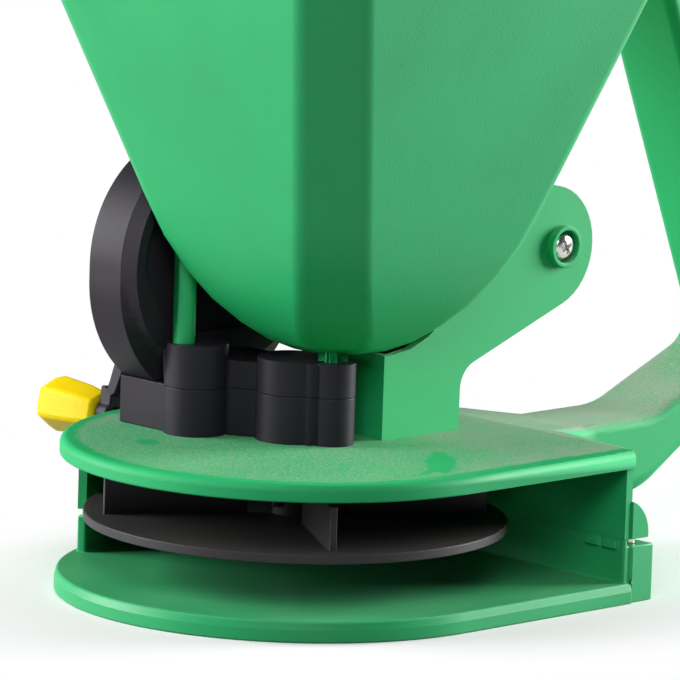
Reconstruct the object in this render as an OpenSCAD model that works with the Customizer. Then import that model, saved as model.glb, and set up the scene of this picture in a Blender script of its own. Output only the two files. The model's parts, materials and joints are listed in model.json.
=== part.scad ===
// Handheld seed spreader with a side crank, in millimetres.
// +Z is up and +Y points to the handle; the seed leaves at the front, towards -Y, and the crank is on -X.
// The origin is on the floor, under the axis of the spinner.

/* [Hopper] */
// Height of the hopper from its lowest point to the rim
hopper_h = 182; // [165:1:200]
// Width of the mouth from side to side
mouth_w = 161; // [155:1:167]
// Depth of the mouth from front to back
mouth_d = 178; // [174:1:182]
// Width of the hopper where the bowl begins
waist_w = 88; // [85:1:91]
// Depth of the hopper where the bowl begins
waist_d = 97; // [94:1:100]
// Height of the rounded bowl
bowl_h = 43.5; // [40:0.5:47]
// Distance of the hopper's middle behind the spinner axis
hopper_back = 15.5; // [14.5:0.5:17]
// Wall of the hopper
hopper_wall = 2.5; // [2:0.1:3]
// Cut of the upright corners, along each wall
hopper_corner = 13.5; // [11:0.5:16]
// Rounding of the edges beside each upright corner
corner_round = 6; // [2:0.5:10]
// Upright band under the rim
band_h = 20; // [14:1:26]
// Width of the rim's flange
rim_w = 4; // [2:0.5:6]
// Thickness of the rim's flange
rim_t = 3; // [2:0.5:5]

/* [Base] */
// Thickness of the tray
tray_t = 6; // [5:0.5:8]
// Upright part of the tray's edge, below its chamfer
tray_edge = 3.6; // [2.5:0.1:4.5]
// Height of the seam between tray walls and upper walls
seam_z = 17.5; // [14:0.5:19]
// Open line between tray walls and upper walls
seam_gap = 2; // [1:0.1:3]
// Distance of the rear wall behind the spinner axis
chamber_back = 65.5; // [63:0.5:68]
// Wall of the spinner chamber
wall_t = 2.6; // [2:0.1:3.2]
// How far the left wall reaches round the front, in degrees
wall_reach = 28; // [10:1:40]
// Thickness of the deck
deck_t = 2.5; // [2:0.1:3]
// Height of the deck's rim
deck_rim = 5; // [4:0.1:6]
// Rounding of the deck's upper edge
deck_round = 2.2; // [1:0.1:2.4]
// Deck outside the chamber wall
deck_lip = 2; // [1:0.1:3]
// Tray outside the deck
tray_lip = 0.6; // [0.2:0.1:2]

/* [Spinner] */
// Radius of the spinner disc
disc_r = 60; // [56:0.5:63]
// Thickness of the spinner disc
disc_t = 2.7; // [2:0.1:3.5]
// Open height under the disc
disc_lift = 14.5; // [13.5:0.5:18]
// Room between the disc's edge and the chamber wall
disc_gap = 2.5; // [1.5:0.1:5]
// Height of the vanes
vane_h = 12.5; // [10:0.5:14]
// Room between the vanes and the deck
vane_gap = 5.8; // [5:0.1:8]
// Thickness of a vane
vane_t = 2; // [1.5:0.1:3]
// Radius of the spinner shaft
spinner_shaft_r = 2.5; // [2.2:0.1:2.6]

/* [Gearbox] */
// Height of the gearbox's lower half
box_h = 13.6; // [12.8:0.1:15]
// Radius of the drum
drum_r = 35.5; // [34:0.5:37]
// Width of the drum's inner half, from its seam to its back
drum_back = 4.8; // [4.4:0.1:5.6]
// Width of the drum's cover, from the seam outwards
cover_w = 13.8; // [12.8:0.1:15]
// Distance of the drum's seam from the spinner axis
drum_seam = 36.8; // [36.4:0.1:38]
// Wall of the gearbox
box_wall = 2.4; // [2:0.1:2.8]
// Module of the spur gears
gear_module = 1.1; // [1.06:0.01:1.12]
// Teeth on the crank gear
crank_teeth = 48; // [46:1:48]
// Teeth on the counter pinion
pinion_teeth = 12; // [12:1:13]
// Pitch radius of the two bevel gears
bevel_r = 4.8; // [4.6:0.1:5]
// Teeth on each bevel gear
bevel_teeth = 12; // [10:2:14]
// Radius of the counter shaft
counter_r = 2.2; // [2:0.1:2.4]

/* [Crank] */
// Distance of the knob's axis from the crank axis
crank_len = 49.5; // [46:0.5:50]
// Angle of the crank from straight down, towards the front
crank_angle = 9; // [0:1:30]
// Distance of the knob's inner end from the spinner axis
knob_x = 72.4; // [72:0.2:76]
// Length of the knob
knob_l = 21.6; // [18:0.2:28]
// Width across flats of the knob's outer end
knob_w = 14.5; // [12:0.5:16]
// Radius of the crank shaft
crank_shaft_r = 4; // [3.5:0.1:4.5]

/* [Feed chute] */
// Front of the chute, behind the spinner axis
chute_front = 19.5; // [18.5:0.5:22]
// Back of the chute, behind the spinner axis
chute_back = 50.5; // [49:0.5:53]
// Width of the chute, the ear and the handle
chute_w = 28; // [27:0.5:30]
// Wall of the chute
chute_wall = 2.5; // [2:0.1:2.6]
// Distance of the ear's screw behind the spinner axis
ear_y = 90.5; // [88:0.5:93]
// Height of the ear's screw above the deck
ear_up = 49.4; // [47:0.2:52]
// Radius of the ear
ear_r = 18; // [16.5:0.5:19]
// Distance of the ear's screw behind the middle of its round
ear_off = 5; // [3:0.5:6]

/* [Handle] */
// Depth of the handle's lower arm
bar_d = 24.4; // [22:0.2:26]
// Height of the lower arm's middle above the floor
arm_z = 27; // [25:0.5:28.5]
// Where the lower arm begins to rise, behind the spinner axis
knee_y = 134; // [128:1:138]
// Rise of the arm towards the grip, in degrees
knee_rise = 23; // [20:0.5:26]
// Lower inner corner of the grip, behind the spinner axis
grip_y = 176; // [172:1:180]
// Lean of the grip from upright, in degrees
grip_lean = 22.5; // [21.5:0.5:23.5]
// Height of the grip's upper inner corner below the hopper's rim
head_drop = 42; // [36:1:48]

/* [Flow gate] */
// Width of the outlet
outlet_w = 18; // [14:0.5:19]
// Height of the outlet
outlet_h = 6; // [5:0.1:6]
// Travel of the gate
gate_travel = 6.5; // [6.2:0.1:7]
// Thickness of the gate
gate_t = 2; // [1.6:0.1:2.4]
// Length of the trigger below its pin
trigger_l = 36; // [32:1:40]

/* [Clearances] */
// Running clearance of shafts, on the radius
run_gap = 0.05; // [0.02:0.01:0.1]
// Clearance between pieces that slide or lie side by side
slide_gap = 0.3; // [0.2:0.05:0.4]
// Backlash of the gears
backlash = 0.16; // [0.1:0.01:0.25]

/* [Hidden] */
$fn = 64;
eps = 0.02;

// Colours
green = [0.16, 0.62, 0.34];
black = [0.15, 0.14, 0.16];
yellow = [0.98, 0.87, 0.08];
steel = [0.72, 0.73, 0.75];
nylon = [0.88, 0.87, 0.82];
bronze = [0.72, 0.56, 0.33];

// Heights, from the floor up
disc_z = tray_t + disc_lift;
disc_top = disc_z + disc_t;
vane_top = disc_top + vane_h;
deck_under = vane_top + vane_gap;
deck_top = deck_under + deck_t;
split_z = deck_top + box_h;
crank_z = split_z + gear_module * (crank_teeth + pinion_teeth) / 2;
hopper_lift = 10.9;
hopper_z = split_z + hopper_lift;
waist_z = hopper_z + bowl_h;
hopper_top = hopper_z + hopper_h;
band_z = hopper_top - band_h;
head_z = hopper_top - head_drop;
ear_z = deck_top + ear_up;

// Plan sizes of the base
chamber_r = disc_r + disc_gap;
wall_r = chamber_r + wall_t;
rim_in = wall_r - 0.6;
deck_r = wall_r + deck_lip;
tray_r = deck_r + tray_lip;
back_y = chamber_back + wall_t;
upper_seam = seam_z + seam_gap / 2;
lower_seam = seam_z - seam_gap / 2;

// Corner bosses that screw the tray to the upper body
boss_w = 9;
boss_d = 6.6;
boss_round = 10.5;
foot_d = 9;
clip_w = 5.6;
clip_d = 0.8;
clip_h = 2.6;
boss_x = deck_r - boss_w / 2 - 0.2;
boss_y = back_y + 3.3;

// Gearbox plan
drum_cap_x = -(drum_seam + cover_w);
drum_back_x = -(drum_seam - drum_back);
drum_taper = 4;
drum_lip = 0.8;
hub_room = 1;
hollow_d = drum_back - hub_room - 1.6;
block_d = 44;
block_out = drum_cap_x + box_wall;
block_in = drum_back_x + 2;
lobe_r = 9;
left_lobe = [-26, -15.5];
mid_lobe_r = 10.5;
mid_lobe = [-3, 0.5];
small_lobe_r = 6.6;
left_post = [-27.2, -19.6];
right_post = [8.5, 4.5];
post_r = 3.2;
rib_t = 1.8;
left_top = hopper_z + 1.5;
web_top = hopper_z - 3;
mid_top = hopper_z - 1;
right_top = hopper_z - 1.2;

// Gears
crank_pitch = gear_module * crank_teeth / 2;
pinion_pitch = gear_module * pinion_teeth / 2;
gear_face = 5;
gear_x = -(drum_seam + cover_w / 2 - 0.6);
bevel_module = 2 * bevel_r / bevel_teeth;
bevel_face = 1.6;
bevel_room = bevel_r + 1.2;

// Screws
screw_r = 1.8;
head_r = 3;
ear_head_r = 3.8;
head_h = 2.2;
hole_gap = 0.2;
handle_screw_l = 14;
handle_screw_x = 11;
ear_screw_l = 7.4;
post_screw_grip = 6;

// Hopper side wall, as a frame for the flow gate
rear_slope = (mouth_d - waist_d) / 2 / (band_z - waist_z);
rear_tilt = atan(rear_slope);
rear_y = hopper_back + waist_d / 2;

// Flow gate, measured along the rear wall from the waist
chute_in = chute_w / 2 - chute_wall;
gate_w = 2 * (chute_in - 1);
outlet_low = -40;
spout_face = 0.5;
gate_n = spout_face + slide_gap;
bar_w = 10;
bar_t = 2;
bar_n = gate_n + gate_t;
gate_top = -12;
bar_low = -20;

// Trigger
trigger_arm = 17;
trigger_rise = 5.5;
trigger_z = head_z + trigger_rise;
arm_up = trigger_z - waist_z;
bar_mid = bar_n + bar_t / 2;
trigger_y = rear_y + rear_slope * arm_up + bar_mid / cos(rear_tilt) + trigger_arm;
arm_s = (arm_up + bar_mid * sin(rear_tilt)) / cos(rear_tilt);
bar_slot = 8;
bar_top = arm_s + bar_slot / 2 + 2.5;
trigger_w = 9;
trigger_pin_r = 2;
pocket_w = 16;

function unit(v) = v / norm(v);

// Rounds the corner q between its neighbours p and s with radius r
function corner(p, q, s, r, n) =
    r == 0 ? [q] :
    let (u = unit(p - q), v = unit(s - q), half = acos(u * v) / 2)
    let (centre = q + unit(u + v) * r / sin(half), start = q + u * r / tan(half))
    let (from = atan2(start.y - centre.y, start.x - centre.x))
    let (turn = (cross(u, v) < 0 ? 1 : -1) * (180 - 2 * half))
    [for (i = [0:n]) centre + r * [cos(from + turn * i / n), sin(from + turn * i / n)]];

function flat(p) = [p[0], p[1]];

// Closed outline through corners given as [x, y, radius]
function rounded(c, n = 6) = [
    for (i = [0:len(c) - 1])
        each corner(flat(c[(i + len(c) - 1) % len(c)]), flat(c[i]), flat(c[(i + 1) % len(c)]), c[i][2], n)
];

// Open path through corners given as [x, y, radius]
function path(c, n = 10) = [
    flat(c[0]),
    for (i = [1:len(c) - 2]) each corner(flat(c[i - 1]), flat(c[i]), flat(c[i + 1]), c[i][2], n),
    flat(c[len(c) - 1])
];

// Skins a stack of rings that each have the same number of points
module loft(rings) {
    n = len(rings[0]);
    last = len(rings) - 1;
    sides = [
        for (j = [0:last - 1], i = [0:n - 1])
            let (a = j * n + i, b = j * n + (i + 1) % n)
            each [[a, a + n, b + n], [a, b + n, b]]
    ];
    points = [for (ring = rings) each ring];
    bottom = [for (i = [0:n - 1]) i];
    top = [for (i = [n - 1:-1:0]) last * n + i];
    polyhedron(points, concat([bottom], sides, [top]));
}

// One level of the hopper: a rectangle of half sizes hx and hy with its corners cut flat and softened
function hopper_ring(hx, hy, z) =
    let (cut = min(hopper_corner, 0.59 * min(hx, hy)))
    let (r = min(corner_round, 1.6 * cut), x = hx - cut, y = hy - cut)
    [for (p = rounded([
        [-x, -hy, r], [x, -hy, r], [hx, -y, r], [hx, y, r],
        [x, hy, r], [-x, hy, r], [-hx, y, r], [-hx, -y, r]
    ], 3)) [p.x, p.y + hopper_back, z]];

bowl_turn = 60;
bowl_steps = 7;
bowl_flat = 7;
function bowl_out(i) = sin(bowl_turn * i / bowl_steps) / sin(bowl_turn);
function bowl_up(i) = (1 - cos(bowl_turn * i / bowl_steps)) / (1 - cos(bowl_turn));
function bowl_half(half, grow, i) = bowl_flat + grow + (half - bowl_flat) * bowl_out(i);
function bowl_height(grow, i) = hopper_z - grow + (bowl_h + grow) * bowl_up(i);

// Rings of the bowl and the tapered wall, grown outwards by a distance or shrunk by a negative one
function hopper_rings(grow) = [
    for (i = [0:bowl_steps])
        hopper_ring(bowl_half(waist_w / 2, grow, i), bowl_half(waist_d / 2, grow, i), bowl_height(grow, i)),
    hopper_ring(mouth_w / 2 + grow, mouth_d / 2 + grow, band_z)
];

function mouth_ring(grow, z) = hopper_ring(mouth_w / 2 + grow, mouth_d / 2 + grow, z);

// Side view of the bowl and the rear wall, for what has to lie under the hopper
function hopper_side(grow) = concat(
    [for (i = [bowl_steps:-1:0]) [hopper_back - bowl_half(waist_d / 2, grow, i), bowl_height(grow, i)]],
    [for (i = [0:bowl_steps]) [hopper_back + bowl_half(waist_d / 2, grow, i), bowl_height(grow, i)]],
    [[hopper_back + mouth_d / 2 + grow, band_z], [hopper_back + mouth_d / 2 + grow, hopper_top]],
    [[hopper_back - mouth_d / 2 - grow, hopper_top], [hopper_back - mouth_d / 2 - grow, band_z]]);

// Frame on the hopper's rear wall: z runs up the wall, y out of it
module on_rear_wall() {
    translate([0, rear_y, waist_z]) rotate([-rear_tilt, 0, 0]) children();
}

// Box centred on x = 0, given by its width and two corners in y and z
module slab(w, low, high) {
    translate([-w / 2, low.x, low.y]) cube([w, high.x - low.x, high.y - low.y]);
}

// Upright plate drawn in the side view, w wide and centred on x = at
module side_plate(w, at = 0) {
    translate([at - w / 2, 0, 0]) rotate([90, 0, 90]) linear_extrude(w) children();
}

module along_x(from, to) {
    translate([from, 0, 0]) rotate([0, 90, 0]) linear_extrude(to - from) children();
}

module hopper() {
    color(green) difference() {
        union() {
            difference() {
                loft(concat(hopper_rings(0), [
                    mouth_ring(0, hopper_top - rim_t),
                    mouth_ring(rim_w, hopper_top - rim_t),
                    mouth_ring(rim_w, hopper_top)
                ]));
                drum_pocket(0);
            }
            hopper_spout();
            bar_guides();
            hopper_lugs();
            translate([left_post.x, left_post.y, split_z]) cylinder(r = post_r, h = bowl_h + hopper_lift);
            cross_post();
        }
        difference() {
            loft(concat(hopper_rings(-hopper_wall), [mouth_ring(-hopper_wall, hopper_top + 1)]));
            drum_pocket(hopper_wall);
        }
        on_rear_wall() slab(outlet_w, [-30, outlet_low], [1, outlet_low + outlet_h]);
        for (p = [left_post, right_post])
            translate([p.x, p.y, split_z - 1]) cylinder(r = screw_r, h = post_screw_grip + 3);
        for (side = [-1, 1])
            translate([side * chute_in, ear_y, ear_z]) rotate([0, 90, 0])
                cylinder(r = screw_r, h = 2 * ear_screw_l, center = true);
        at_handle_screws() translate([0, 0, -1]) cylinder(r = screw_r + hole_gap, h = 6);
    }
}

// Hollow in the hopper's left wall that makes room for the drum
module drum_pocket(grow) {
    deep = 40;
    translate([drum_back_x + 0.6 + grow - deep, 0, crank_z]) rotate([0, 90, 0])
        cylinder(r = drum_r + 0.6 + grow, h = deep);
}

// Flat-faced spout at the bowl's rear, which the gate closes
module hopper_spout() {
    on_rear_wall() slab(gate_w + 0.8, [-16, outlet_low - 4],
        [spout_face, outlet_low + outlet_h + gate_travel + 4]);
}

// Two bridges on the rear wall that hold the link bar
module bar_guides() {
    for (s = [22, 70])
        on_rear_wall() difference() {
            slab(bar_w + 7, [-1.5, s - 4], [bar_n + bar_t + slide_gap + 2, s + 4]);
            slab(bar_w + 2 * slide_gap, [bar_n - slide_gap, s - 5], [bar_n + bar_t + slide_gap, s + 5]);
        }
}

// Pair of lugs that the ear's screws hold
module hopper_lugs() {
    for (side = [-1, 1])
        side_plate(4.4, side * (chute_in - slide_gap - 2.2)) union() {
            polygon([
                [rear_y - 4, waist_z - 3], [ear_y - 6, ear_z - 7.5],
                [ear_y + 6, ear_z + 7.5], [rear_y + 2, waist_z + 15]
            ]);
            translate([ear_y, ear_z]) circle(r = 9.5);
        }
}

// Cross-ribbed post over the gearbox's small lobe
module cross_post() {
    translate([right_post.x, right_post.y, split_z]) {
        cylinder(r = post_r - 0.6, h = hopper_lift + 6);
        for (turn = [0, 90])
            rotate([0, 0, turn + 45]) translate([-post_r - 1, -rib_t / 2, right_top - split_z + slide_gap])
                cube([2 * post_r + 2, rib_t, 12]);
    }
}

// Deck in cross-section, half wide on each side, with a rounded edge and a rim below
module deck_section(half) {
    low = deck_top - deck_rim;
    difference() {
        union() {
            translate([-half, low]) square([2 * half, deck_rim - deck_round]);
            translate([-half + deck_round, low]) square([2 * (half - deck_round), deck_rim]);
            for (side = [-1, 1])
                translate([side * (half - deck_round), deck_top - deck_round]) circle(r = deck_round);
        }
        translate([-rim_in, low - 1]) square([2 * rim_in, deck_under - low + 1]);
    }
}

module tray_section(half) {
    polygon([
        [-half, 0], [half, 0], [half, tray_edge], [half - tray_lip, tray_t],
        [-half + tray_lip, tray_t], [-half, tray_edge]
    ]);
}

// Half-round front and straight sides, swept from one cross-section
module round_front(half, back) {
    rotate([0, 0, 180]) rotate_extrude(angle = 180) intersection() {
        children();
        square([half + 1, deck_top + 1]);
    }
    translate([0, back, 0]) rotate([90, 0, 0]) linear_extrude(back) children();
}

// Left and rear walls of the chamber between two heights, t thick from the inside
module chamber_walls(low, high, t = wall_t) {
    tall = high - low;
    translate([0, 0, low]) {
        rotate([0, 0, 180]) rotate_extrude(angle = wall_reach) translate([chamber_r, 0]) square([t, tall]);
        translate([-chamber_r - t, 0, 0]) cube([t, chamber_back + t, tall]);
        translate([-chamber_r - t, chamber_back, 0]) cube([chamber_r + t + wall_end, t, tall]);
    }
}

wall_end = deck_r - 0.8;

module at_bosses() {
    for (side = [-1, 1]) translate([side * boss_x, boss_y, 0]) children();
}

// Side outline of the chute and the ear, drawn inwards by a distance
// The round stops at an angle, and the outline ends at the top
ear_mid = [ear_y - ear_off, ear_z];
chute_knee = [chute_back, split_z + 3.4];
ear_reach = ear_mid - chute_knee;
ear_rise = atan2(ear_reach.y, ear_reach.x) - asin(ear_r / norm(ear_reach));
ear_steps = 18;
ear_ring_r = 6.15;
ear_ring_h = 2.3;
function ear_outline(inset, low, stop, top) =
    let (knee = chute_knee + inset * [-1, (1 - sin(ear_rise)) / cos(ear_rise)])
    concat(
        [[chute_front + inset, low], [chute_back - inset, low]],
        corner([knee.x, low], knee, knee + [cos(ear_rise), sin(ear_rise)], 8 + inset, 6),
        [for (i = [0:ear_steps])
            let (turn = ear_rise - 90 + (stop + 90 - ear_rise) * i / ear_steps)
            ear_mid + (ear_r - inset) * [cos(turn), sin(turn)]],
        [[ear_mid.x + (ear_r - inset) * cos(stop), top]],
        [[rear_y - 8, top], [chute_front + inset, hopper_z + 12]]);

module chute_and_ear() {
    difference() {
        side_plate(chute_w) polygon(ear_outline(0, deck_under, 89, ear_z + ear_r));
        side_plate(chute_w + 2) polygon(hopper_side(slide_gap));
    }
    for (side = [-1, 1])
        translate([side * chute_w / 2, ear_y, ear_z]) rotate([0, 90 * side, 0])
            translate([0, 0, -1]) cylinder(r = ear_ring_r, h = ear_ring_h + 1);
}

// Corners of the handle's inner and outer faces, from under the deck round to the hopper's rear wall
function rear_wall_y(z) = min(rear_y + rear_slope * (z - waist_z), hopper_back + mouth_d / 2);
grip_run = [-sin(grip_lean), cos(grip_lean)];
arm_top = arm_z + bar_d / 2;
arm_low = arm_z - bar_d / 2;
inner_foot = [grip_y, arm_top + (grip_y - knee_y) * tan(knee_rise)];
outer_foot = inner_foot + [bar_d, 3];
grip_l = (head_z - inner_foot.y) / cos(grip_lean);
inner_head = inner_foot + grip_l * grip_run;
outer_head = outer_foot + (grip_l + 0.9 * bar_d) * grip_run;
handle_in = 6;
inner_face = path([
    [back_y - 1, arm_top, 0], [knee_y, arm_top, 30], [inner_foot.x, inner_foot.y, 9],
    [inner_head.x, inner_head.y, 5], [rear_wall_y(inner_head.y) - handle_in, inner_head.y + 2, 0]
], 8);
outer_face = path([
    [back_y - 1, arm_low, 0], [knee_y - 5, arm_low, 25], [outer_foot.x, outer_foot.y, 28],
    [outer_head.x, outer_head.y, 16], [rear_wall_y(outer_head.y) - handle_in, outer_head.y + 2, 0]
], 8);

// One section of the bar: squarer inside the loop and rounder outside
function bar_section(half) = rounded([
    [-chute_w / 2, -half, 3.5], [chute_w / 2, -half, 3.5],
    [chute_w / 2, half, 7.5], [-chute_w / 2, half, 7.5]
], 4);

module handle() {
    loft([
        for (i = [0:len(inner_face) - 1])
            let (mid = (inner_face[i] + outer_face[i]) / 2, across = outer_face[i] - inner_face[i])
            let (half = norm(across) / 2, dir = across / norm(across))
            [for (p = bar_section(half)) [p.x, mid.x + p.y * dir.x, mid.y + p.y * dir.y]]
    ]);
}

// Flare from the deck's rear edge into the handle, with a falling top
module handle_root() {
    reach = 44;
    half = chute_w / 2;
    root_half = wall_end - 0.3;
    neck = [26.5, back_y + 11];
    intersection() {
        linear_extrude(deck_top) polygon(rounded([
            [-root_half, back_y - 8, 0], [root_half, back_y - 8, 0], [root_half, back_y + 0.5, 1.5],
            [neck.x, neck.y, 5], [half, back_y + reach - 8, 20], [half, back_y + reach, 0],
            [-half, back_y + reach, 0], [-half, back_y + reach - 8, 20], [-neck.x, neck.y, 5],
            [-root_half, back_y + 0.5, 1.5]
        ]));
        side_plate(2 * deck_r) polygon([
            [back_y - 8, deck_top - deck_rim], [back_y + reach, arm_top - deck_rim],
            [back_y + reach, arm_top - 0.4], [back_y + reach - 8, arm_top - 0.4],
            [back_y + 4, deck_top - 0.6], [back_y, deck_top],
            [back_y - 8, deck_top]
        ]);
    }
}

// Places of the screws that hold the handle, on the inside of the hopper's rear wall
module at_handle_screws() {
    up = ((inner_head.y + outer_head.y) / 2 - waist_z) / cos(rear_tilt);
    for (side = [-1, 1])
        on_rear_wall() translate([side * handle_screw_x, -hopper_wall, up]) rotate([-90, 0, 0]) children();
}

module upper_body() {
    color(green) difference() {
        union() {
            round_front(deck_r, back_y) deck_section(deck_r);
            chamber_walls(upper_seam, deck_under + eps);
            at_bosses() corner_boss();
            handle();
            handle_root();
            chute_and_ear();
        }
        side_plate(2 * chute_in)
            polygon(ear_outline(chute_wall, deck_under - deck_rim, 50, ear_z + ear_r + 1));
        upper_body_holes();
        slab(pocket_w, [rear_y, trigger_z - trigger_l], [trigger_y + 8, trigger_z + 7]);
        difference() {
            side_plate(chute_w + 2) polygon(hopper_side(slide_gap));
            slab(chute_w + 4, [0, 0], [ear_y, ear_z + ear_r + 1]);
        }
        translate([-chamber_r, 0, 0]) cube([2 * chamber_r, chamber_back, deck_under]);
        translate([-chamber_r, 0, 0]) cube([2 * chamber_r, back_y + 0.1, upper_seam]);
    }
}

// Screw boss at a rear corner, with a round back
module corner_boss() {
    intersection() {
        translate([-boss_w / 2, back_y - boss_y - eps, upper_seam])
            cube([boss_w, boss_d + eps, boss_round + 2]);
        translate([-boss_w / 2 - 1, back_y - boss_y + boss_d - boss_round, upper_seam + 1]) rotate([0, 90, 0])
            cylinder(r = boss_round, h = boss_w + 2);
    }
}

module upper_body_holes() {
    translate([0, 0, deck_under - 1]) cylinder(r = spinner_shaft_r + 2, h = deck_t + 2);
    for (p = [left_post, right_post])
        translate([p.x, p.y, deck_under - 1]) cylinder(r = screw_r + hole_gap, h = deck_t + 2);
    for (side = [-1, 1])
        translate([side * chute_w / 2, ear_y, ear_z]) rotate([0, 90 * side, 0]) {
            translate([0, 0, -6]) cylinder(r = screw_r + hole_gap, h = 12);
            cylinder(r = ear_head_r + 0.95, h = 6);
        }
    at_bosses() translate([0, 0, upper_seam - 1]) cylinder(r = screw_r, h = 8);
    translate([0, trigger_y, trigger_z]) rotate([0, 90, 0])
        cylinder(r = trigger_pin_r, h = chute_w - 4, center = true);
    at_handle_screws() cylinder(r = screw_r, h = handle_screw_l + 2);
}

module lower_tray() {
    color(green) difference() {
        union() {
            round_front(tray_r, back_y) tray_section(tray_r);
            chamber_walls(tray_t - eps, lower_seam);
            chamber_walls(lower_seam - eps, upper_seam, wall_t / 2);
            for (x = [deck_r - 13, deck_r - 6.3, 13 - deck_r])
                translate([x - clip_w / 2, chamber_back - clip_d, lower_seam - 1.2])
                    cube([clip_w, clip_d + eps, clip_h]);
            at_bosses() translate([-boss_w / 2, back_y - boss_y - eps, 0])
                cube([boss_w, foot_d, lower_seam]);
        }
        at_bosses() {
            translate([0, 0, -1]) cylinder(r = screw_r + hole_gap, h = 40);
            translate([0, 0, -1]) cylinder(r = head_r + hole_gap, h = 1 + screw_seat);
        }
    }
}

screw_seat = 6;

// Plan of the gearbox round the shafts
module box_plan() {
    translate(left_lobe) circle(r = lobe_r);
    translate(mid_lobe) circle(r = mid_lobe_r);
    web_plan();
    small_lobe_plan();
}

module web_plan() {
    polygon([[block_in - 1, -14], [-17, -11], [-10, -7], [-3, -8], [-3, 9], [block_in - 1, 9]]);
}

module small_lobe_plan() {
    translate(right_post) circle(r = small_lobe_r);
    translate([0, -4]) square([right_post.x, 12]);
}

// Room for the gears and shafts, shared by both halves
module gear_room() {
    translate([0, 0, split_z]) {
        translate([0, 0, -bevel_r - 4.6]) cylinder(r = bevel_room, h = bevel_r + 4.6 + bevel_room);
        along_x(-bevel_r - 5, 0) circle(r = bevel_room);
        along_x(gear_x - gear_face / 2 - 1, gear_x + gear_face / 2 + 1) circle(r = pinion_pitch + 2.2);
        along_x(block_out + 1, 0) circle(r = counter_r + 0.6);
        for (x = bush_places) along_x(x, x + bush_l) circle(r = bush_r);
    }
}

bush_l = 6;
bush_r = 4;
bush_places = [drum_back_x - bush_l / 1.5, -bevel_r - 2 * bush_l];

module gearbox_lower() {
    color(black) difference() {
        union() {
            translate([0, 0, deck_top]) linear_extrude(box_h) box_plan();
            translate([block_out, -block_d / 2, deck_top]) cube([block_in - block_out, block_d, box_h]);
        }
        gear_room();
        translate([0, 0, deck_top - 1]) cylinder(r = spinner_shaft_r + 2, h = 6);
        for (p = [left_post, right_post])
            translate([p.x, p.y, deck_top - 1]) cylinder(r = screw_r + hole_gap, h = box_h + 2);
    }
}

// The drum between two planes, above the split
module above_split() {
    intersection() {
        children();
        translate([-100, -100, split_z]) cube([200, 200, 100]);
    }
}

module gearbox_upper() {
    color(black) difference() {
        union() {
            translate([0, 0, split_z]) {
                translate(left_lobe) cylinder(r = lobe_r, h = left_top - split_z);
                linear_extrude(web_top - split_z) web_plan();
                translate(mid_lobe) cylinder(r = mid_lobe_r, h = mid_top - split_z);
                linear_extrude(right_top - split_z) small_lobe_plan();
            }
            above_split() drum_shell();
        }
        gear_room();
        translate([-drum_seam - 1, 0, crank_z]) rotate([0, 90, 0])
            cylinder(r = drum_r - box_wall - drum_taper, h = hub_room + 1);
        translate([-drum_seam, 0, crank_z]) rotate([0, 90, 0])
            cylinder(r = crank_shaft_r + run_gap, h = drum_back + 1);
        at_cover_screws() cylinder(r = screw_r, h = cover_screw_l);
        translate([left_post.x, left_post.y, split_z - 1]) cylinder(r = post_r + 0.1, h = 30);
        translate([right_post.x, right_post.y, split_z - 1]) cylinder(r = post_r - 0.5, h = 30);
    }
}

// Inner half of the drum, tapered towards its back, with a flat hollow cut off by a chord
module drum_shell() {
    small_r = drum_r - drum_taper;
    hollow_low = -0.62 * small_r;
    difference() {
        translate([-drum_seam, 0, crank_z]) rotate([0, 90, 0])
            cylinder(r1 = drum_r, r2 = small_r, h = drum_back);
        translate([0, 0, crank_z]) side_plate(2 * hollow_d, drum_back_x) intersection() {
            circle(r = small_r - drum_lip);
            polygon([
                [-small_r, 0], [-0.625 * small_r, hollow_low], [small_r, hollow_low],
                [small_r, small_r], [-small_r, small_r]
            ]);
        }
    }
}

module gear_cover() {
    color(black) above_split() difference() {
        union() {
            difference() {
                translate([drum_cap_x, 0, crank_z]) rotate([0, 90, 0]) cylinder(r = drum_r, h = cover_w);
                translate([drum_cap_x + box_wall, 0, crank_z]) rotate([0, 90, 0])
                    cylinder(r = drum_r - box_wall, h = cover_w);
            }
            at_cover_screws() cylinder(r = screw_r + 1.2, h = cover_w);
        }
        translate([drum_cap_x - 1, 0, crank_z]) rotate([0, 90, 0])
            cylinder(r = crank_shaft_r + 2, h = cover_w);
        at_cover_screws() translate([0, 0, -1]) cylinder(r = screw_r + hole_gap, h = cover_w + 2);
        gear_room();
    }
}

cover_screw_r = drum_r - 4.5;
cover_screw_l = cover_w + 3.4;

module at_cover_screws() {
    for (turn = [-15, 90, 195])
        translate([drum_cap_x, 0, crank_z]) rotate([turn, 0, 0])
            translate([0, cover_screw_r, 0]) rotate([0, 90, 0]) children();
}

module ring(inner, outer, h) {
    difference() {
        cylinder(r = outer, h = h);
        translate([0, 0, -1]) cylinder(r = inner, h = h + 2);
    }
}

peg_r = 2;
peg_places = [[2.8, -10], [9.2, -3.5]];
peg_low = disc_top + 3.5;
plate_r = 13.5;
plate_t = 1.5;

// Bearing plate under the deck, with two pegs that hang beside the shaft
module spinner_bush() {
    color(black) difference() {
        union() {
            translate([0, 0, deck_under]) cylinder(r = spinner_shaft_r + 2, h = deck_t + 2.5);
            translate([0, 0, deck_under - plate_t]) cylinder(r = plate_r, h = plate_t);
            for (p = peg_places)
                translate([p.x, p.y, peg_low]) cylinder(r = peg_r, h = deck_under - peg_low - 1);
        }
        translate([0, 0, deck_under - 5]) cylinder(r = spinner_shaft_r + run_gap, h = 20);
        translate([right_post.x, right_post.y, deck_under - 5]) cylinder(r = screw_r + hole_gap, h = 20);
    }
}

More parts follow.
